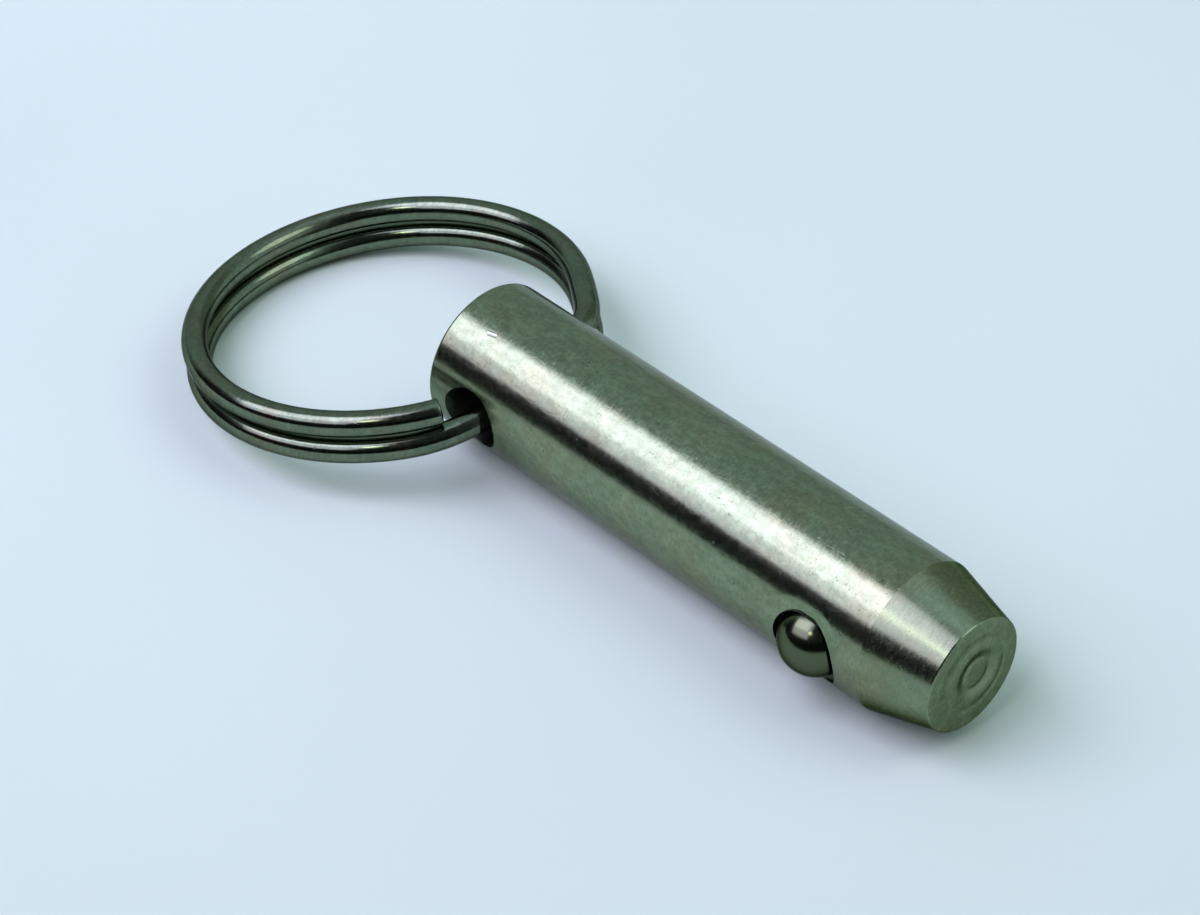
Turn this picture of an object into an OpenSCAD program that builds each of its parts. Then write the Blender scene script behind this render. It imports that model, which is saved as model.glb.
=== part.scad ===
// Detent pin: a turned steel pin with a spring-loaded ball near its nose and a
// two-turn split ring through a cross hole near its head.
// The pin lies along +X with the centre of its head end at the origin, as it comes
// to rest on a flat surface: the shank touches it, and so does the ring's far side.

/* [Pin] */
// Diameter of the shank (3/8 inch)
pin_d = 9.525; // [9.4:0.025:9.6]
// Overall length, head end to nose end
pin_length = 39.6; // [36:0.1:48]
// Length of the tapered nose
nose_length = 4.3; // [3:0.1:6]
// Diameter of the flat end of the nose
nose_d = 7.28; // [6.5:0.02:8.5]
// Edge break round the head end
head_chamfer = 0.2; // [0.1:0.05:0.4]
// Edge break round the nose end
nose_chamfer = 0.12; // [0.05:0.01:0.3]

/* [Nose face] */
// Outer diameter of the shallow turned groove in the nose face
face_groove_d = 4.3; // [3.6:0.1:5.6]
// Diameter of the disc left standing inside the groove
face_disc_d = 2; // [1.6:0.1:3]
// Depth of the groove
face_groove_depth = 0.28; // [0.1:0.02:0.4]

/* [Ring hole] */
// Diameter of the cross hole for the ring (5/32 inch)
ring_hole_d = 3.97; // [3.9:0.01:4.2]
// Distance of its centre from the head end
ring_hole_x = 3.62; // [3.4:0.02:5]
// Depth below the hole's flanks at which the countersink of its mouths begins
ring_hole_break = 0.1; // [0.05:0.01:0.2]
// How far the hole dips below level on the near side, as the pin lies, in degrees
ring_hole_dip = 4; // [0:1:6]

/* [Detent] */
// Diameter of the ball (11/64 inch)
ball_d = 4.366; // [4.3:0.002:4.4]
// Distance of the ball from the head end
ball_x = 31.1; // [28:0.1:31.6]
// How far the ball stands out of the shank
ball_proud = 1; // [0.95:0.01:1.05]
// Turn of the ball's bore from the ring hole, about the pin's axis, in degrees
ball_turn = 5; // [0:1:20]
// Running clearance round the ball in its bore
ball_clearance = 0.05; // [0.03:0.01:0.08]
// Diameter of the sunk mark left where the bore's edge was staked over the ball
stake_mark_d = 5; // [4.8:0.05:5.2]
// Depth of the stake mark below the shank
stake_depth = 0.14; // [0.05:0.01:0.2]
// Diameter of the spring's wire
spring_wire_d = 0.4; // [0.35:0.01:0.45]
// Mean diameter of the spring
spring_mean_d = 2.9; // [2.6:0.05:3.2]
// Number of turns in the spring
spring_turns = 5; // [4:0.5:6]

/* [Ring] */
// Outer diameter of the split ring
ring_od = 25.8; // [25.4:0.1:26.4]
// Diameter of the ring's wire
ring_wire_d = 1.62; // [1.5:0.02:1.7]
// Gap between the ring's two turns
ring_gap = 0.36; // [0.3:0.02:0.5]
// Distance of the ring's centre from the hole that it hangs in
ring_reach = 11.55; // [11.5:0.05:11.6]
// How far the ring has slipped sideways through the hole
ring_slip = 1.2; // [1:0.05:1.25]
// Angle at the ring's centre from the hole to the cut end on the near side
near_end_angle = 25; // [24:1:30]
// Angle at the ring's centre from the hole to the cut end on the far side
far_end_angle = 36; // [34:1:40]
// How far the wire is pushed out of round at the hole's far mouth
mouth_bulge = 0.6; // [0.5:0.05:0.7]

/* [Hidden] */

pin_r = pin_d / 2;
nose_start = pin_length - nose_length;
turned_fn = 120;

// The countersink widens by this much for each unit of height
countersink_slope = 0.35;

// The ball's bore, measured outward from the pin's axis along the bore
ball_r = ball_d / 2;
ball_height = pin_r + ball_proud - ball_r;
ball_dip = ring_hole_dip + ball_turn;
socket_r = ball_r + ball_clearance;
bore_r = socket_r + 0.02;
bore_bottom = -2.2;
drill_point = bore_r * tan(31);
above_pin = 1;

// The spring stands on the bore's floor and meets the ball from below
spring_r = spring_mean_d / 2;
wire_gap = 0.02;
seat_reach = ball_r + spring_wire_d / 2 + wire_gap;
spring_top = ball_height - sqrt(seat_reach * seat_reach - spring_r * spring_r);
spring_bottom = bore_bottom + spring_wire_d / 2 + wire_gap;
spring_dead = 0.75;
spring_steps = 20;
spring_sides = 8;

// The ring: its own plane is level until it droops about the hole
ring_r = (ring_od - ring_wire_d) / 2;
wire_r = ring_wire_d / 2;
turn_lift = wire_r + ring_gap / 2;
far_arm = ring_reach + ring_r;
droop_drop = pin_r - wire_r;
ring_droop = asin(droop_drop / norm([far_arm, turn_lift])) - atan(turn_lift / far_arm);
jog_angle = 36;
bulge_angle = 32;
bulge_span = 13;
end_step = 0.6;
end_taper = 0.82;
ring_steps = 220;
ring_sides = 18;

// Puts a shape that is drawn along Z with its top outward into the near side of the pin
module out_of_near_side(x, dip) {
    translate([x, 0, 0])
        rotate([90 + dip, 0, 0])
            children();
}

// Half section of the turned pin: x is the radius and y the distance from the head
module pin_section() {
    groove_r = face_groove_d / 2;
    disc_r = face_disc_d / 2;
    groove_y = pin_length - face_groove_depth;
    polygon([
        [0, 0],
        [pin_r - head_chamfer, 0],
        [pin_r, head_chamfer],
        [pin_r, nose_start],
        [nose_d / 2, pin_length - nose_chamfer],
        [nose_d / 2 - nose_chamfer, pin_length],
        [groove_r, pin_length],
        [groove_r - 0.35, groove_y],
        [disc_r + 0.2, groove_y],
        [disc_r, groove_y + 0.18],
        [0, groove_y + 0.2]
    ]);
}

// Cutter for the ring's cross hole: both mouths are countersunk with a steep cone, which
// breaks the edge least at the hole's flanks and most where the shank stands highest
module ring_hole() {
    hole_r = ring_hole_d / 2;
    flank_height = sqrt(pin_r * pin_r - hole_r * hole_r);
    cone_height = pin_r + above_pin - flank_height + ring_hole_break;
    cylinder(r = hole_r, h = 4 * pin_r, center = true, $fn = 72);
    for (side = [0, 1])
        mirror([0, 0, side])
            translate([0, 0, flank_height - ring_hole_break])
                cylinder(r1 = hole_r, r2 = hole_r + countersink_slope * cone_height,
                         h = cone_height, $fn = 72);
}

// Cutter for the ball's blind bore: drill point, bore, and the socket whose lip was
// staked over the ball, so that it opens less wide at the shank than the ball
module ball_bore() {
    rotate_extrude($fn = 72)
        polygon([
            [0, bore_bottom - drill_point],
            [bore_r, bore_bottom],
            [bore_r, ball_height],
            [0, ball_height]
        ]);
    translate([0, 0, ball_height])
        sphere(r = socket_r, $fn = 72);
}

// Cutter for the stake mark: a round field that follows the shank at a small depth
module stake_mark() {
    difference() {
        cylinder(d = stake_mark_d, h = pin_r + above_pin, $fn = 72);
        rotate([0, 90, 0])
            cylinder(r = pin_r - stake_depth, h = 2 * stake_mark_d, center = true,
                     $fn = turned_fn);
    }
}

// One turned piece of bar, drilled across for the ring and bored for the ball
module pin_body() {
    color([0.62, 0.66, 0.60])
        difference() {
            rotate([90, 0, 90])
                rotate_extrude($fn = turned_fn)
                    pin_section();
            out_of_near_side(ring_hole_x, ring_hole_dip) ring_hole();
            out_of_near_side(ball_x, ball_dip) ball_bore();
            out_of_near_side(ball_x, ball_dip) stake_mark();
        }
}

// Steel ball, held out against the staked lip
module detent_ball() {
    color([0.75, 0.76, 0.72])
        out_of_near_side(ball_x, ball_dip)
            translate([0, 0, ball_height])
                sphere(r = ball_r, $fn = 60);
}

// A tube of round section along points, closed at both ends; taper scales each section
module swept_wire(path, tangents, radius, sides, taper) {
    count = len(path);
    points = [
        for (i = [0 : count - 1])
            let (
                t = tangents[i],
                side = cross(t, [0, 0, 1]) / norm(cross(t, [0, 0, 1])),
                up = cross(side, t)
            )
            for (k = [0 : sides - 1])
                path[i] + radius * taper[i]
                    * (cos(360 * k / sides) * side + sin(360 * k / sides) * up)
    ];
    walls = [
        for (i = [0 : count - 2], k = [0 : sides - 1])
            let (n = (k + 1) % sides)
            [i * sides + k, (i + 1) * sides + k, (i + 1) * sides + n, i * sides + n]
    ];
    first_cap = [for (k = [0 : sides - 1]) k];
    last_cap = [for (k = [sides - 1 : -1 : 0]) (count - 1) * sides + k];
    polyhedron(points, concat([first_cap], walls, [last_cap]), convexity = 6);
}

// Direction of travel along a path of points, by central differences
function directions(path) = [
    for (i = [0 : len(path) - 1])
        let (
            a = path[max(i - 1, 0)],
            b = path[min(i + 1, len(path) - 1)]
        )
        (b - a) / norm(b - a)
];

// Height of the spring's wire: the first and last part turns lie flat
function spring_height(turn) =
    spring_bottom + (spring_top - spring_bottom)
        * min(max((turn - spring_dead) / (spring_turns - 2 * spring_dead), 0), 1);

// Compression spring with a flat part turn at each end
module ball_spring() {
    count = spring_turns * spring_steps;
    path = [
        for (i = [0 : count])
            let (turn = i / spring_steps)
            [spring_r * cos(360 * turn), spring_r * sin(360 * turn), spring_height(turn)]
    ];
    color([0.55, 0.57, 0.55])
        out_of_near_side(ball_x, ball_dip)
            swept_wire(path, directions(path), spring_wire_d / 2, spring_sides,
                       [for (i = [0 : count]) 1]);
}

// Smooth step from 0 to 1
function ease(t) =
    let (c = min(max(t, 0), 1))
    c * c * (3 - 2 * c);

// Turns an angle into the range from -180 to 180
function wrapped(a) = a - 360 * round(a / 360);

// Distance of the wire from the ring's centre: it is pushed out at the far mouth
function wire_distance(a) =
    ring_r + mouth_bulge * exp(-pow((wrapped(a) - bulge_angle) / bulge_span, 2));

// Height of the wire: upper turn, then down through the hole to the lower turn
function wire_level(a) = turn_lift * (2 * ease((a + 360 + jog_angle) / (2 * jog_angle)) - 1);

// Centre of the wire at angle a, which counts down from the near cut end
function wire_point(a) = [
    wire_distance(a) * cos(a) - ring_reach,
    wire_distance(a) * sin(a) - ring_slip,
    wire_level(a)
];

// Two-turn split ring, hanging in the cross hole with its far side on the surface. Each
// cut end has a short last section of less radius, which breaks its edge
module split_ring() {
    first = -near_end_angle;
    last = far_end_angle - 720;
    step = (last - first + 2 * end_step) / ring_steps;
    angles = concat(
        [first],
        [for (i = [0 : ring_steps]) first - end_step + i * step],
        [last]
    );
    taper = concat([end_taper], [for (i = [0 : ring_steps]) 1], [end_taper]);
    path = [for (a = angles) wire_point(a)];
    color([0.50, 0.54, 0.47])
        translate([ring_hole_x, 0, 0])
            rotate([0, -ring_droop, 0])
                swept_wire(path, directions(path), wire_r, ring_sides, taper);
}

pin_body();
detent_ball();
ball_spring();
split_ring();
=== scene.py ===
"""Looks of the detent pin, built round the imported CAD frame.

Every piece is in the CAD's own frame: the pin lies along +X with its head end at the
origin, near side -Y, top +Z. Lengths in this script are in millimetres until a mesh is made.
"""
import math

import bpy
import numpy as np
from mathutils import Matrix, Quaternion, Vector


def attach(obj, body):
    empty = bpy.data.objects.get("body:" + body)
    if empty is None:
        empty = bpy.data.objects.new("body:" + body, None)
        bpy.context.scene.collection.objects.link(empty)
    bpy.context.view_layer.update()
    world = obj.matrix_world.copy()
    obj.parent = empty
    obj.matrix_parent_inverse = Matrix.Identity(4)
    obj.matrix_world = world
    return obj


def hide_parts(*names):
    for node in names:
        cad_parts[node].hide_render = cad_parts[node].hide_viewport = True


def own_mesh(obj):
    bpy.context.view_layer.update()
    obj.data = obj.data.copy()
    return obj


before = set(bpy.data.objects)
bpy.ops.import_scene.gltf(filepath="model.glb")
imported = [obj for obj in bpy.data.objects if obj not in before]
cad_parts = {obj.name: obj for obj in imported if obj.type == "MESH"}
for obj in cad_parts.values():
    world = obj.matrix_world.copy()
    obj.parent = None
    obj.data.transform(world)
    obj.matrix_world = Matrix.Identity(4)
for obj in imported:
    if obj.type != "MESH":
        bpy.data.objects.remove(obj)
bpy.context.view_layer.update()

MM = 0.001

# The camera: its place in millimetres, and its focal length in pixels of the photo
CAMERA_PLACE = (131.0549, -109.418, 137.1385)
CAMERA_RIGHT = (0.685519, 0.727632, -0.024810)
CAMERA_UP = (-0.460020, 0.459305, 0.759882)
FOCAL_PIXELS = 3603.86
PHOTO_WIDTH = 1200
SENSOR = 36

# The lamps, in metres: how far the window is, and the x that the lamps face
KEY_AWAY = 0.7
PART_MIDDLE = 0.018
WINDOW_COLOUR = (1.1, 0.96, 1.43)
WINDOW_TWIST = 8

# Sizes that the CAD source also has
PIN_R = 4.7625
PIN_LENGTH = 39.6
NOSE_START = 35.3
NOSE_R = 3.64
HEAD_EDGE = 0.2
NOSE_EDGE = 0.12
RING_HOLE_X = 3.62
RING_HOLE_R = 1.985
RING_HOLE_DIP = math.radians(4)
BALL_X = 31.1
BALL_R = 2.183
BALL_HEIGHT = PIN_R + 1 - BALL_R
BALL_DIP = math.radians(9)
SOCKET_R = BALL_R + 0.05
BORE_R = SOCKET_R + 0.02
BORE_BOTTOM = -2.2
HOLE_FLARE = 0.35
SPRING_R = 1.45
SPRING_WIRE_R = 0.2
SPRING_TURNS = 5
WIRE_R = 0.81
RING_R = 12.9 - WIRE_R
RING_REACH = 11.55
RING_SLIP = 1.2
NEAR_END = math.radians(25)
FAR_END = math.radians(36)
JOG = math.radians(36)

# Sizes that only the scene has: the opened mouth of the ball's bore, its soft staked field,
# how far each turn of the ring lies from the middle plane, and how far the dish of the nose
# face lies off the axis
SEAT_R = 2.58
SEAT_SHELF = 0.42
SEAT_SHIFT = 0.12
STAKE_R = 2.9
STAKE_DEPTH = 0.05
TURN_LIFT = WIRE_R + 0.125
DISH_OFFSET = (0, 0.36, -0.14)


def smooth(t):
    """Smooth step from 0 to 1, for numbers or arrays."""
    t = np.clip(t, 0, 1)
    return t * t * (3 - 2 * t)


# ---------------------------------------------------------------- camera and stage

def make_camera():
    """The photograph's viewpoint, with its small roll."""
    right, up = Vector(CAMERA_RIGHT), Vector(CAMERA_UP)
    back = right.cross(up).normalized()
    up = back.cross(right).normalized()
    spin = Matrix((right.normalized(), up, back)).transposed().to_4x4()
    data = bpy.data.cameras.new("camera")
    data.sensor_width = SENSOR
    data.lens = FOCAL_PIXELS / PHOTO_WIDTH * SENSOR
    data.clip_start = 0.005
    camera = bpy.data.objects.new("camera", data)
    camera.matrix_world = Matrix.Translation(Vector(CAMERA_PLACE) * MM) @ spin
    bpy.context.scene.collection.objects.link(camera)
    bpy.context.scene.camera = camera


def make_lamp(name, place, size, radiance, colour, twist=0.0):
    """A soft lamp that faces the part. size: one length for a disc, two for a rectangle,
    whose first side lies along X, but for a twist about the way that it faces."""
    data = bpy.data.lights.new(name, "AREA")
    if len(size) == 1:
        data.shape = "DISK"
        data.size = size[0]
        area = math.pi * size[0] ** 2 / 4
    else:
        data.shape = "RECTANGLE"
        data.size, data.size_y = size
        area = size[0] * size[1]
    data.energy = radiance * math.pi * area
    data.color = colour
    lamp = bpy.data.objects.new(name, data)
    lamp.location = place
    facing = Vector(place) - Vector((PART_MIDDLE, 0, 0))
    if len(size) == 2:
        facing.x = 0
    lamp.rotation_mode = "QUATERNION"
    lamp.rotation_quaternion = (facing.to_track_quat("Z", "Y")
                                @ Quaternion((0, 0, 1), math.radians(twist)))
    bpy.context.scene.collection.objects.link(lamp)


def make_window(name, lean_from, lean_to, left, right, radiance):
    """A share of the long window over the near side of the pin. lean_from and lean_to:
    its angles from straight up; left and right: its ends, in shares of its distance."""
    lean = math.radians((lean_from + lean_to) / 2)
    height = 2 * KEY_AWAY * math.tan(math.radians((lean_to - lean_from) / 2))
    place = (PART_MIDDLE + (left + right) / 2 * KEY_AWAY, -KEY_AWAY * math.sin(lean),
             KEY_AWAY * math.cos(lean))
    make_lamp(name, place, ((right - left) * KEY_AWAY, height), radiance, WINDOW_COLOUR,
              WINDOW_TWIST)


class Nodes:
    """Short calls for building a node tree."""

    def __init__(self, tree):
        self.tree = tree
        tree.nodes.clear()

    def add(self, kind, inputs=None, **settings):
        node = self.tree.nodes.new(kind)
        for name, value in settings.items():
            setattr(node, name, value)
        for name, value in (inputs or {}).items():
            self.put(node.inputs[name], value)
        return node

    def put(self, socket, value):
        if isinstance(value, bpy.types.NodeSocket):
            self.tree.links.new(value, socket)
        else:
            socket.default_value = value

    def math(self, operation, a, b=0.0, c=0.0):
        node = self.add("ShaderNodeMath", {0: a, 1: b, 2: c}, operation=operation)
        return node.outputs[0]

    def vector(self, operation, a, b):
        return self.add("ShaderNodeVectorMath", {0: a, 1: b}, operation=operation).outputs[0]

    def scaled(self, vector, factor):
        return self.add("ShaderNodeVectorMath", {0: vector, "Scale": factor},
                        operation="SCALE").outputs[0]

    def score(self, place, start, end, width, depth):
        """Depth of a short score from start to end: greatest along its middle."""
        along = Vector(end) - Vector(start)
        length = along.length
        here = self.vector("SUBTRACT", place, tuple(start))
        share = self.add("ShaderNodeVectorMath", {0: here, 1: tuple(along / length)},
                         operation="DOT_PRODUCT").outputs["Value"]
        share = self.math("MINIMUM", self.math("MAXIMUM", share, 0.0), length)
        foot = self.scaled(tuple(along / length), share)
        gap = self.add("ShaderNodeVectorMath", {0: here, 1: foot}, operation="DISTANCE")
        return self.remap(gap.outputs["Value"], width, 0.0, 0.0, depth)

    def remap(self, value, low, high, out_low=0.0, out_high=1.0):
        node = self.add("ShaderNodeMapRange", interpolation_type="SMOOTHSTEP")
        for name, v in (("Value", value), ("From Min", low), ("From Max", high),
                        ("To Min", out_low), ("To Max", out_high)):
            self.put(node.inputs[name], v)
        return node.outputs["Result"]

    def noise(self, vector, scale, detail=2.0, roughness=0.5, distortion=0.0):
        node = self.add("ShaderNodeTexNoise", {
            "Vector": vector, "Scale": scale, "Detail": detail,
            "Roughness": roughness, "Distortion": distortion})
        return node.outputs["Fac"]

    def mix(self, factor, a, b):
        node = self.add("ShaderNodeMix", data_type="RGBA")
        self.put(node.inputs["Factor"], factor)
        self.put(node.inputs["A"], a)
        self.put(node.inputs["B"], b)
        return node.outputs["Result"]


def make_world():
    """A dim room: a plain ceiling, dimmer low on the far side, and dark on the near side
    and behind the viewer."""
    world = bpy.data.worlds.new("room")
    world.use_nodes = True
    bpy.context.scene.world = world
    n = Nodes(world.node_tree)
    direction = n.add("ShaderNodeTexCoord").outputs["Generated"]
    way = n.add("ShaderNodeSeparateXYZ", {"Vector": direction})
    x, y, z = (way.outputs[axis] for axis in "XYZ")
    gap = n.mix(n.remap(z, 0.62, 0.96), (0.267, 0.335, 0.311, 1), (0.657, 0.8, 0.95, 1))
    ceiling = n.mix(n.remap(x, -0.28, -0.48), gap, (0.42, 0.52, 0.56, 1))
    ceiling = n.mix(n.remap(x, 0.0, 0.3), ceiling, (0.56, 0.69, 0.74, 1))
    low = n.math("MULTIPLY", n.remap(z, 0.56, 0.48), n.remap(y, 0.1, -0.35))
    viewer = n.math("MULTIPLY", n.remap(x, -0.3, 0.15), n.remap(y, 0.25, -0.2))
    dark = n.math("MAXIMUM", low, n.math("MULTIPLY", viewer, 0.93))
    colour = n.mix(dark, ceiling, (0.012, 0.013, 0.012, 1))
    background = n.add("ShaderNodeBackground", {"Color": colour, "Strength": 1.0})
    n.add("ShaderNodeOutputWorld", {"Surface": background.outputs[0]})


def make_floor():
    """The pale sheet that the pin lies on."""
    half = 1.5
    mesh = bpy.data.meshes.new("floor")
    z = -PIN_R * MM
    mesh.from_pydata([(-half, -half, z), (half, -half, z), (half, half, z), (-half, half, z)],
                     [], [(0, 1, 2, 3)])
    floor = bpy.data.objects.new("floor", mesh)
    bpy.context.scene.collection.objects.link(floor)
    material = bpy.data.materials.new("pale_sheet")
    material.use_nodes = True
    n = Nodes(material.node_tree)
    place = n.add("ShaderNodeTexCoord").outputs["Object"]
    blotch = n.noise(place, 18.0, 2.0)
    colour = n.mix(n.remap(blotch, 0.3, 0.7), (0.601, 0.722, 0.634, 1), (0.626, 0.747, 0.657, 1))
    # painted shade: the sheet a little darker towards the viewer
    axes = n.add("ShaderNodeSeparateXYZ", {"Vector": place}).outputs
    away = n.math("SUBTRACT", axes["Y"], axes["X"])
    colour = n.scaled(colour, n.remap(away, -0.09, 0.02, 0.93, 1.0))
    bump = n.add("ShaderNodeBump", {"Height": n.noise(place, 900.0, 3.0), "Strength": 0.05,
                                    "Distance": 0.0002})
    shader = n.add("ShaderNodeBsdfPrincipled", {
        "Base Color": colour, "Roughness": 0.85, "Specular IOR Level": 0.2,
        "Normal": bump.outputs[0]})
    n.add("ShaderNodeOutputMaterial", {"Surface": shader.outputs[0]})
    mesh.materials.append(material)


# ---------------------------------------------------------------- materials

def steel(name, colour, stain, roughness, tone, lines=0.0, grain=0.0, scuffs=0.0,
          chatter=0.0, wear=0.0, anisotropic=0.0, edge=0.6, nicks=()):
    """Bare steel. tone: depth of the fine mottling in the colour; lines: turning lines
    across X; grain: fine uneven height; scuffs: pits and rubbed marks; chatter: coarse
    uneven turning marks; wear: shallow waves, with dark flecks and worn blotches; edge: tint
    of what is seen at a grazing angle; nicks: short scores (start, end, width, depth, colour),
    in millimetres, whose colour is a painted highlight or painted shade along the score."""
    material = bpy.data.materials.new(name)
    material.use_nodes = True
    n = Nodes(material.node_tree)
    place = n.scaled(n.add("ShaderNodeTexCoord").outputs["Object"], 1000.0)
    speck = n.noise(n.vector("MULTIPLY", place, (3.4, 1.7, 1.7)), 1.6, 3.0, 0.7)
    patch = n.noise(place, 0.24, 3.0, 0.6)
    cloud = n.noise(n.vector("MULTIPLY", place, (0.5, 0.9, 0.9)), 1.0, 3.0, 0.6)
    base = n.mix(n.remap(patch, 0.44, 0.66), (*colour, 1), (*stain, 1))
    shade = n.remap(speck, 0.3, 0.72, 1.0 - tone, 1.0 + tone)
    soft = tone * 0.6
    shade = n.math("MULTIPLY", shade, n.remap(cloud, 0.3, 0.7, 1.0 - soft, 1.0 + soft))
    if wear:
        fleck = n.remap(n.noise(n.vector("MULTIPLY", place, (4.0, 5.5, 5.5)), 1.0, 2.0, 0.6),
                        0.36, 0.29)
        zone = n.remap(n.noise(place, 0.9, 1.0), 0.38, 0.6)
        shade = n.math("MULTIPLY", shade, n.math("SUBTRACT", 1.0, n.math("MULTIPLY", fleck,
                       n.math("MULTIPLY", zone, 0.5))))
        blotch = n.noise(n.vector("MULTIPLY", place, (1.4, 2.4, 2.4)), 1.0, 2.0, 0.6)
        shade = n.math("MULTIPLY", shade, n.remap(blotch, 0.34, 0.66, 0.9, 1.1))
    base = n.scaled(base, shade)
    height = n.math("MULTIPLY", speck, grain)
    if lines:
        line = n.noise(n.vector("MULTIPLY", place, (9.0, 0.3, 0.3)), 1.0, 3.0, 0.7)
        height = n.math("MULTIPLY_ADD", line, lines, height)
    if scuffs:
        pit = n.remap(n.noise(place, 2.3, 2.0, 0.5), 0.24, 0.31, 1.0, 0.0)
        streak = n.vector("MULTIPLY", place, (0.8, 4.0, 4.0))
        rub = n.remap(n.noise(streak, 1.0, 2.0, 0.5, 0.6), 0.64, 0.71)
        height = n.math("MULTIPLY_ADD", pit, -scuffs, height)
        height = n.math("MULTIPLY_ADD", rub, -scuffs * 0.3, height)
    if chatter:
        wide = n.noise(n.vector("MULTIPLY", place, (2.6, 0.55, 0.55)), 1.0, 2.0, 0.6, 0.5)
        height = n.math("MULTIPLY_ADD", wide, chatter, height)
    if wear:
        wave = n.noise(n.vector("MULTIPLY", place, (1.1, 2.0, 2.0)), 1.0, 2.0, 0.5)
        height = n.math("MULTIPLY_ADD", wave, wear, height)
    # each nick's colour is painted along its score, as a painted highlight or painted shade
    for start, end, width, depth, tint in nicks:
        nick = n.score(place, start, end, width, 1.0)
        height = n.math("MULTIPLY_ADD", nick, -depth, height)
        base = n.mix(nick, base, tint)
    bump = n.add("ShaderNodeBump", {"Height": height, "Strength": 1.0, "Distance": 0.001})
    rough = n.remap(speck, 0.3, 0.75, roughness * 0.8, roughness * 1.25)
    shader = n.add("ShaderNodeBsdfPrincipled", {
        "Base Color": base, "Metallic": 1.0, "Roughness": rough,
        "Specular Tint": (edge, edge, edge, 1), "Normal": bump.outputs[0]})
    if anisotropic:
        shader.inputs["Anisotropic"].default_value = anisotropic
        shader.inputs["Anisotropic Rotation"].default_value = 0.25
        tangent = n.add("ShaderNodeTangent", direction_type="RADIAL", axis="X")
        n.put(shader.inputs["Tangent"], tangent.outputs[0])
    n.add("ShaderNodeOutputMaterial", {"Surface": shader.outputs[0]})
    return material


# ---------------------------------------------------------------- mesh helpers

def make_piece(name, points, faces, body, node, materials, indices=None):
    """A mesh piece from points in millimetres, which stands for a CAD node."""
    mesh = bpy.data.meshes.new(name)
    mesh.from_pydata([tuple(p) for p in np.asarray(points) * MM], [], faces)
    for material in materials:
        mesh.materials.append(material)
    if indices is not None:
        mesh.polygons.foreach_set("material_index", indices)
    mesh.validate()
    mesh.polygons.foreach_set("use_smooth", [True] * len(mesh.polygons))
    piece = bpy.data.objects.new(name, mesh)
    bpy.context.scene.collection.objects.link(piece)
    if body:
        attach(piece, body)
        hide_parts(node)
    return piece


def turned(profile, sides):
    """Closed surface of revolution round X from points (x, r) that start and end at r = 0."""
    angles = np.arange(sides) * 2 * math.pi / sides
    points = [(profile[0][0], 0.0, 0.0)]
    faces = []
    rows = profile[1:-1]
    for x, r in rows:
        points += [(x, -r * math.sin(a), r * math.cos(a)) for a in angles]
    points.append((profile[-1][0], 0.0, 0.0))
    last = len(points) - 1
    for k in range(sides):
        m = (k + 1) % sides
        faces.append((0, 1 + m, 1 + k))
        for i in range(len(rows) - 1):
            a, b = 1 + i * sides, 1 + (i + 1) * sides
            faces.append((a + k, a + m, b + m, b + k))
        end = 1 + (len(rows) - 1) * sides
        faces.append((end + k, end + m, last))
    return points, faces


def outward(points, dip, x):
    """Turns points drawn along Z (outward) into the near side of the pin at x."""
    p = np.asarray(points, float)
    c, s = math.cos(dip), math.sin(dip)
    # rotation about X by 90 degrees plus dip: Z goes to (0, -cos dip, -sin dip)
    return np.c_[p[:, 0] + x, -s * p[:, 1] - c * p[:, 2], c * p[:, 1] - s * p[:, 2]]


def along_z(profile, sides):
    """Surface of revolution round Z from points (z, r)."""
    points, faces = turned(profile, sides)
    p = np.asarray(points)
    return np.c_[p[:, 1], p[:, 2], p[:, 0]], faces


def tube(path, radius, sides, ends):
    """Round tube along path; ends lists (distance back, radius share) of its end sections."""
    path = np.asarray(path, float)
    t = np.gradient(path, axis=0)
    t /= np.linalg.norm(t, axis=1)[:, None]
    side = np.cross(t, (0, 0, 1))
    side /= np.linalg.norm(side, axis=1)[:, None]
    up = np.cross(side, t)
    sections = [(path[0] - t[0] * d, t[0], side[0], up[0], s) for d, s in ends]
    sections += [(p, a, b, c, 1.0) for p, a, b, c in zip(path, t, side, up)]
    sections += [(path[-1] + t[-1] * d, t[-1], side[-1], up[-1], s) for d, s in reversed(ends)]
    angles = np.arange(sides) * 2 * math.pi / sides
    points, faces = [], []
    for p, _, b, c, s in sections:
        for a in angles:
            points.append(p + radius * s * (math.cos(a) * b + math.sin(a) * c))
    for i in range(len(sections) - 1):
        for k in range(sides):
            m = (k + 1) % sides
            faces.append((i * sides + k, (i + 1) * sides + k, (i + 1) * sides + m, i * sides + m))
    points += [sections[0][0], sections[-1][0]]
    first, last, end = len(points) - 2, len(points) - 1, (len(sections) - 1) * sides
    for k in range(sides):
        m = (k + 1) % sides
        faces.append((first, k, m))
        faces.append((last, end + m, end + k))
    return points, faces


# ---------------------------------------------------------------- pin

def shank_radius(x, angle):
    """Radius of the outer surface at x and at an angle from the top towards the near side."""
    r = np.where(x < NOSE_START, PIN_R,
                 PIN_R + (NOSE_R - PIN_R) * (x - NOSE_START)
                 / (PIN_LENGTH - NOSE_EDGE - NOSE_START))
    # the shallow field sunk by staking round the ball
    axis = math.pi / 2 + BALL_DIP
    across = PIN_R * np.sin(angle - axis)
    far = np.hypot(x - BALL_X, across)
    facing = np.cos(angle - axis) > 0
    r = r - np.where(facing, STAKE_DEPTH * smooth((STAKE_R - far) / 0.8 + 0.5), 0)
    return r


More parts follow.
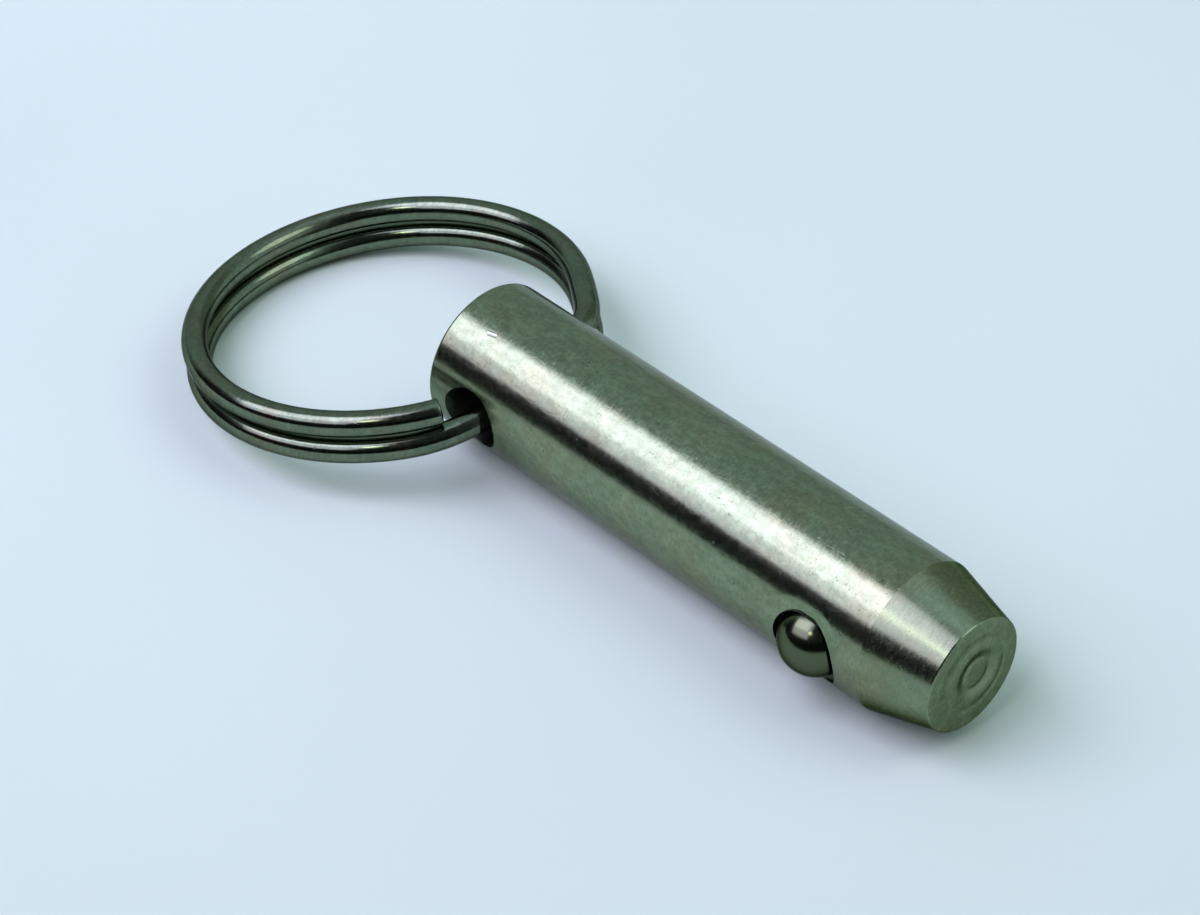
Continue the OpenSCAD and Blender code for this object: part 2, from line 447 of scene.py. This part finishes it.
def face_profile():
    """Nose face from its edge to its centre: a flat band, a low soft ridge, a shallow
    turned dish and the small disc that the tool left in the middle."""
    radii = [3.4, 3.2, 3.0] + [2.85 - 0.06 * i for i in range(35)] + [0.6, 0.3]
    profile = []
    for r in radii:
        depth = 0.03 * float(smooth((2.75 - r) / 0.4) - smooth((2.3 - r) / 0.4))
        depth += 0.15 * float(smooth((1.75 - r) / 0.85))
        depth -= 0.05 * float(smooth((1.05 - r) / 0.3))
        profile.append((PIN_LENGTH - depth, r))
    return profile


def pin_profile():
    profile = [(0, 0)]
    profile += [(0, r) for r in (1.0, 2.0, 3.0, 4.0, PIN_R - HEAD_EDGE)]
    for i in range(1, 5):
        a = i * math.pi / 8
        profile.append((HEAD_EDGE * (1 - math.cos(a)), PIN_R - HEAD_EDGE * (1 - math.sin(a))))
    x = HEAD_EDGE
    stops = [x]
    while x < NOSE_START - 0.05:
        x += 0.1 if 28.2 < x < 34.0 else 0.4
        stops.append(min(x, NOSE_START))
    if stops[-1] < NOSE_START:
        stops.append(NOSE_START)
    end = PIN_LENGTH - NOSE_EDGE
    stops += [NOSE_START + (end - NOSE_START) * i / 12 for i in range(1, 13)]
    profile += [(s, PIN_R) for s in stops[1:]]
    for i in range(1, 4):
        a = i * math.pi / 8
        profile.append((end + NOSE_EDGE * math.sin(a), NOSE_R - NOSE_EDGE * (1 - math.cos(a))))
    profile += face_profile()
    profile.append((PIN_LENGTH - 0.1, 0))
    return profile


def outer_point(x, angle):
    r = shank_radius(x, angle)
    return np.c_[x, -r * np.sin(angle), r * np.cos(angle)]


def outer_normal(x, angle):
    """Normal of the outer surface, by small differences."""
    h = 1e-3
    dx = outer_point(x + h, angle) - outer_point(x - h, angle)
    da = outer_point(x, angle + h) - outer_point(x, angle - h)
    n = np.cross(dx, da)
    n /= np.linalg.norm(n, axis=1)[:, None]
    away = np.c_[0 * x, -np.sin(angle), np.cos(angle)]
    return n * np.sign((n * away).sum(1))[:, None]


def cut(piece, cutters):
    """Cuts the cutters out of the piece, and applies the result."""
    for cutter in cutters:
        modifier = piece.modifiers.new("cut", "BOOLEAN")
        modifier.operation = "DIFFERENCE"
        modifier.solver = "EXACT"
        modifier.object = cutter
    graph = bpy.context.evaluated_depsgraph_get()
    mesh = bpy.data.meshes.new_from_object(piece.evaluated_get(graph))
    piece.modifiers.clear()
    old = piece.data
    piece.data = mesh
    mesh.name = old.name
    bpy.data.meshes.remove(old)
    for cutter in cutters:
        data = cutter.data
        bpy.data.objects.remove(cutter)
        bpy.data.meshes.remove(data)


def make_pin(materials):
    points, faces = turned(pin_profile(), 360)
    p = np.asarray(points, float)
    r = np.hypot(p[:, 1], p[:, 2])
    angle = np.arctan2(-p[:, 1], p[:, 2])
    on_side = (np.abs(r - PIN_R) < 1e-6) & (p[:, 0] >= HEAD_EDGE - 1e-9)
    p[on_side] = outer_point(p[on_side, 0], angle[on_side])
    # the dish and disc of the nose face lie a little off the axis
    shift = np.where(p[:, 0] > PIN_LENGTH - 0.4, smooth((3.0 - r) / 1.3), 0)
    p += shift[:, None] * DISH_OFFSET
    pin = make_piece("turned_pin", p, faces, None, None, materials)
    at_nose = [2 if sum(p[v, 0] for v in f) / len(f) > NOSE_START + 1e-6 else 0 for f in faces]
    pin.data.polygons.foreach_set("material_index", at_nose)

    top = PIN_R + 1
    start = math.sqrt(PIN_R ** 2 - RING_HOLE_R ** 2) - 0.1
    mouth = RING_HOLE_R + (top - start) * HOLE_FLARE
    profile = [(-top, 0), (-top, mouth), (-start, RING_HOLE_R)]
    profile += [(z, RING_HOLE_R) for z in np.linspace(-3.5, 3.5, 9)]
    profile += [(start, RING_HOLE_R), (top, mouth), (top, 0)]
    hole, hole_faces = along_z(profile, 96)
    hole = outward(hole, RING_HOLE_DIP, RING_HOLE_X)

    bore = [(BORE_BOTTOM - BORE_R * math.tan(math.radians(31)), 0), (BORE_BOTTOM, BORE_R)]
    bore += [(z, BORE_R) for z in np.linspace(BORE_BOTTOM + 1, BALL_HEIGHT - 0.2, 6)]
    for i in range(4, 30):
        a = i * math.pi / 2 / 30
        bore.append((BALL_HEIGHT + SOCKET_R * math.sin(a), SOCKET_R * math.cos(a)))
    bore.append((BALL_HEIGHT + SOCKET_R, 0))
    socket, socket_faces = along_z(bore, 96)
    socket = outward(socket, BALL_DIP, BALL_X)

    seat = [(BALL_HEIGHT + SEAT_SHELF, 0)]
    first = math.asin(SEAT_SHELF / SEAT_R)
    for i in range(24):
        a = first + (math.pi / 2 - first) * i / 24
        seat.append((BALL_HEIGHT + SEAT_R * math.sin(a), SEAT_R * math.cos(a)))
    seat.append((BALL_HEIGHT + SEAT_R, 0))
    rim, rim_faces = along_z(seat, 96)
    rim = outward(rim, BALL_DIP, BALL_X + SEAT_SHIFT)

    cutters = []
    for name, q, f in (("hole", hole, hole_faces), ("socket", socket, socket_faces),
                       ("seat", rim, rim_faces)):
        cutter = make_piece(name, q, f, None, None, materials, [1] * len(f))
        cutters.append(cutter)
    cut(pin, cutters)
    set_normals(pin.data)
    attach(pin, "pin")
    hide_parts("pin_body")
    return pin


def set_normals(mesh):
    """True normals on the turned surface, so that the holes' edges don't disturb its shading."""
    mesh.polygons.foreach_set("use_smooth", [True] * len(mesh.polygons))
    mesh.set_sharp_from_angle(angle=math.radians(24))
    count = len(mesh.loops)
    corner = np.zeros(count * 3, np.float32)
    mesh.corner_normals.foreach_get("vector", corner)
    corner = corner.reshape(-1, 3)
    vertex = np.zeros(count, np.int32)
    mesh.loops.foreach_get("vertex_index", vertex)
    co = np.zeros(len(mesh.vertices) * 3, np.float32)
    mesh.vertices.foreach_get("co", co)
    co = co.reshape(-1, 3)[vertex] / MM
    x, r = co[:, 0].astype(float), np.hypot(co[:, 1], co[:, 2])
    angle = np.arctan2(-co[:, 1], co[:, 2]).astype(float)
    # a corner is on the turned side if its whole face is
    side = np.abs(r - shank_radius(x, angle)) < 0.004
    side &= (x > HEAD_EDGE - 1e-4) & (x < PIN_LENGTH - NOSE_EDGE + 1e-4)
    total = np.zeros(len(mesh.polygons), np.int32)
    mesh.polygons.foreach_get("loop_total", total)
    slot = np.zeros(len(mesh.polygons), np.int32)
    mesh.polygons.foreach_get("material_index", slot)
    owner = np.repeat(np.arange(len(total)), total)
    hits = np.bincount(owner, weights=side, minlength=len(total))
    centre = np.zeros(len(mesh.polygons) * 3, np.float32)
    mesh.polygons.foreach_get("center", centre)
    centre_x = centre.reshape(-1, 3)[:, 0] / MM
    whole = ((hits == total) & (slot != 1))[owner]
    # the corner between shank and nose stays crisp: each face keeps its own side's normal
    inset = np.where(centre_x[owner] < NOSE_START, NOSE_START - 0.01, NOSE_START + 0.01)
    at_corner = np.abs(x - NOSE_START) < 0.01
    x = np.where(at_corner, inset, x)
    normal = outer_normal(x, angle)
    corner[whole] = normal[whole]
    mesh.normals_split_custom_set(corner.tolist())


# ---------------------------------------------------------------- ball, spring and ring

def make_ball(material):
    sides, rows = 72, 36
    profile = [(-BALL_R * math.cos(i * math.pi / rows), BALL_R * math.sin(i * math.pi / rows))
               for i in range(rows + 1)]
    profile[0], profile[-1] = (-BALL_R, 0), (BALL_R, 0)
    points, faces = along_z(profile, sides)
    points[:, 2] += BALL_HEIGHT
    points = outward(points, BALL_DIP, BALL_X)
    return make_piece("polished_ball", points, faces, "ball", "detent_ball",
                      [material])


def make_spring(material):
    seat = BALL_R + SPRING_WIRE_R + 0.02
    top = BALL_HEIGHT - math.sqrt(seat * seat - SPRING_R * SPRING_R)
    bottom = BORE_BOTTOM + SPRING_WIRE_R + 0.02
    dead = 0.75
    steps = 36
    path = []
    for i in range(SPRING_TURNS * steps + 1):
        turn = i / steps
        level = min(max((turn - dead) / (SPRING_TURNS - 2 * dead), 0), 1)
        a = 2 * math.pi * turn
        path.append((SPRING_R * math.cos(a), SPRING_R * math.sin(a),
                     bottom + (top - bottom) * level))
    points, faces = tube(path, SPRING_WIRE_R, 12, [(0.0, 0.8)])
    points = outward(points, BALL_DIP, BALL_X)
    spring = make_piece("coil_spring", points, faces, "pin", "ball_spring",
                        [material])
    # the coil's axis and foot, which nothing here uses further
    axis, anchor = outward([(0, 0, 1), (0, 0, BORE_BOTTOM)], BALL_DIP, 0)
    anchor[0] = BALL_X
    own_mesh(spring)
    return spring


def wrap(a):
    return a - 2 * math.pi * np.round(a / (2 * math.pi))


def make_ring(material):
    bulge, bulge_angle, span = 0.6, math.radians(32), math.radians(13)
    steps = 640
    a = np.linspace(-NEAR_END - math.radians(0.6), FAR_END - 4 * math.pi + math.radians(0.6), steps)
    r = RING_R + bulge * np.exp(-((wrap(a) - bulge_angle) / span) ** 2)
    level = TURN_LIFT * (2 * smooth((a + 2 * math.pi + JOG) / (2 * JOG)) - 1)
    path = np.c_[r * np.cos(a) - RING_REACH, r * np.sin(a) - RING_SLIP, level]
    ends = [(0.127, 0.8), (0.11, 0.885), (0.07, 0.955), (0.03, 0.99)]
    points, faces = tube(path, WIRE_R, 32, ends)
    far_arm = RING_REACH + RING_R
    droop = (math.asin((PIN_R - WIRE_R) / math.hypot(far_arm, TURN_LIFT))
             - math.atan(TURN_LIFT / far_arm))
    p = np.asarray(points)
    c, s = math.cos(droop), math.sin(droop)
    p = np.c_[RING_HOLE_X + p[:, 0] * c - p[:, 2] * s, p[:, 1], p[:, 0] * s + p[:, 2] * c]
    return make_piece("wound_ring", p, faces, "ring", "split_ring", [material])


# ---------------------------------------------------------------- the scene

make_camera()
make_world()
make_floor()
make_window("window", 6, 59.5, -1.05, 0.16, 2.05)
make_window("window_core", 12, 40, -1.05, 0.0, 1.75)
make_lamp("spark", (0.217 * 0.6, -0.551 * 0.6, 0.805 * 0.6), (0.09,), 9.0, (1.0, 0.97, 0.9))
make_lamp("fill", (0.5 * 0.8, 0.4 * 0.8, 0.77 * 0.8), (0.46,), 1.8, (0.95, 1.0, 1.05))

# three real shallow scores near the head; the colours along their middles are painted: painted
# shade on the first two, a painted highlight on the third
PAINTED_GLINT, SHADED = (1.0, 1.0, 1.0, 1), (0.1, 0.125, 0.08, 1)
NICKS = [((2.753, -2.206, 4.221), (3.324, -2.088, 4.281), 0.06, 0.004, SHADED),
         ((2.6, -1.96, 4.341), (3.096, -1.891, 4.371), 0.06, 0.004, SHADED),
         ((2.657, -2.095, 4.277), (3.248, -1.983, 4.33), 0.07, 0.004, PAINTED_GLINT)]
STEEL = (0.21, 0.265, 0.165)
STAIN = (0.222, 0.25, 0.152)
shank_steel = steel("turned_steel", STEEL, STAIN, 0.21, 0.12, lines=0.0007, grain=0.0013,
                    scuffs=0.004, wear=0.004, anisotropic=0.5, edge=0.62, nicks=NICKS)
nose_steel = steel("nose_steel", STEEL, STAIN, 0.24, 0.12, lines=0.0008, grain=0.0008,
                   scuffs=0.003, chatter=0.0035, anisotropic=0.4, edge=0.2)
# the walls of the holes and of the ball's seat: rough bored steel, its colour darkened as painted
# shade in these recesses
bore_steel_painted_shade = steel("bored_steel_painted_shade", (0.085, 0.105, 0.068), (0.075, 0.085, 0.058), 0.42, 0.2,
                   lines=0.004, grain=0.006)
ball_steel = steel("polished_steel", (0.098, 0.12, 0.07), (0.095, 0.113, 0.066), 0.17, 0.03,
                   grain=0.0003, scuffs=0.0006, edge=0.35)
wire_steel = steel("drawn_steel", (0.138, 0.176, 0.118), (0.148, 0.166, 0.11), 0.15, 0.16,
                   grain=0.002, scuffs=0.004, edge=0.4)
coil_steel = steel("coil_steel", (0.4, 0.42, 0.4), (0.3, 0.31, 0.28), 0.3, 0.1, grain=0.003)

make_pin([shank_steel, bore_steel_painted_shade, nose_steel])
make_ball(ball_steel)
make_spring(coil_steel)
make_ring(wire_steel)

bpy.context.scene.view_settings.view_transform = "Standard"
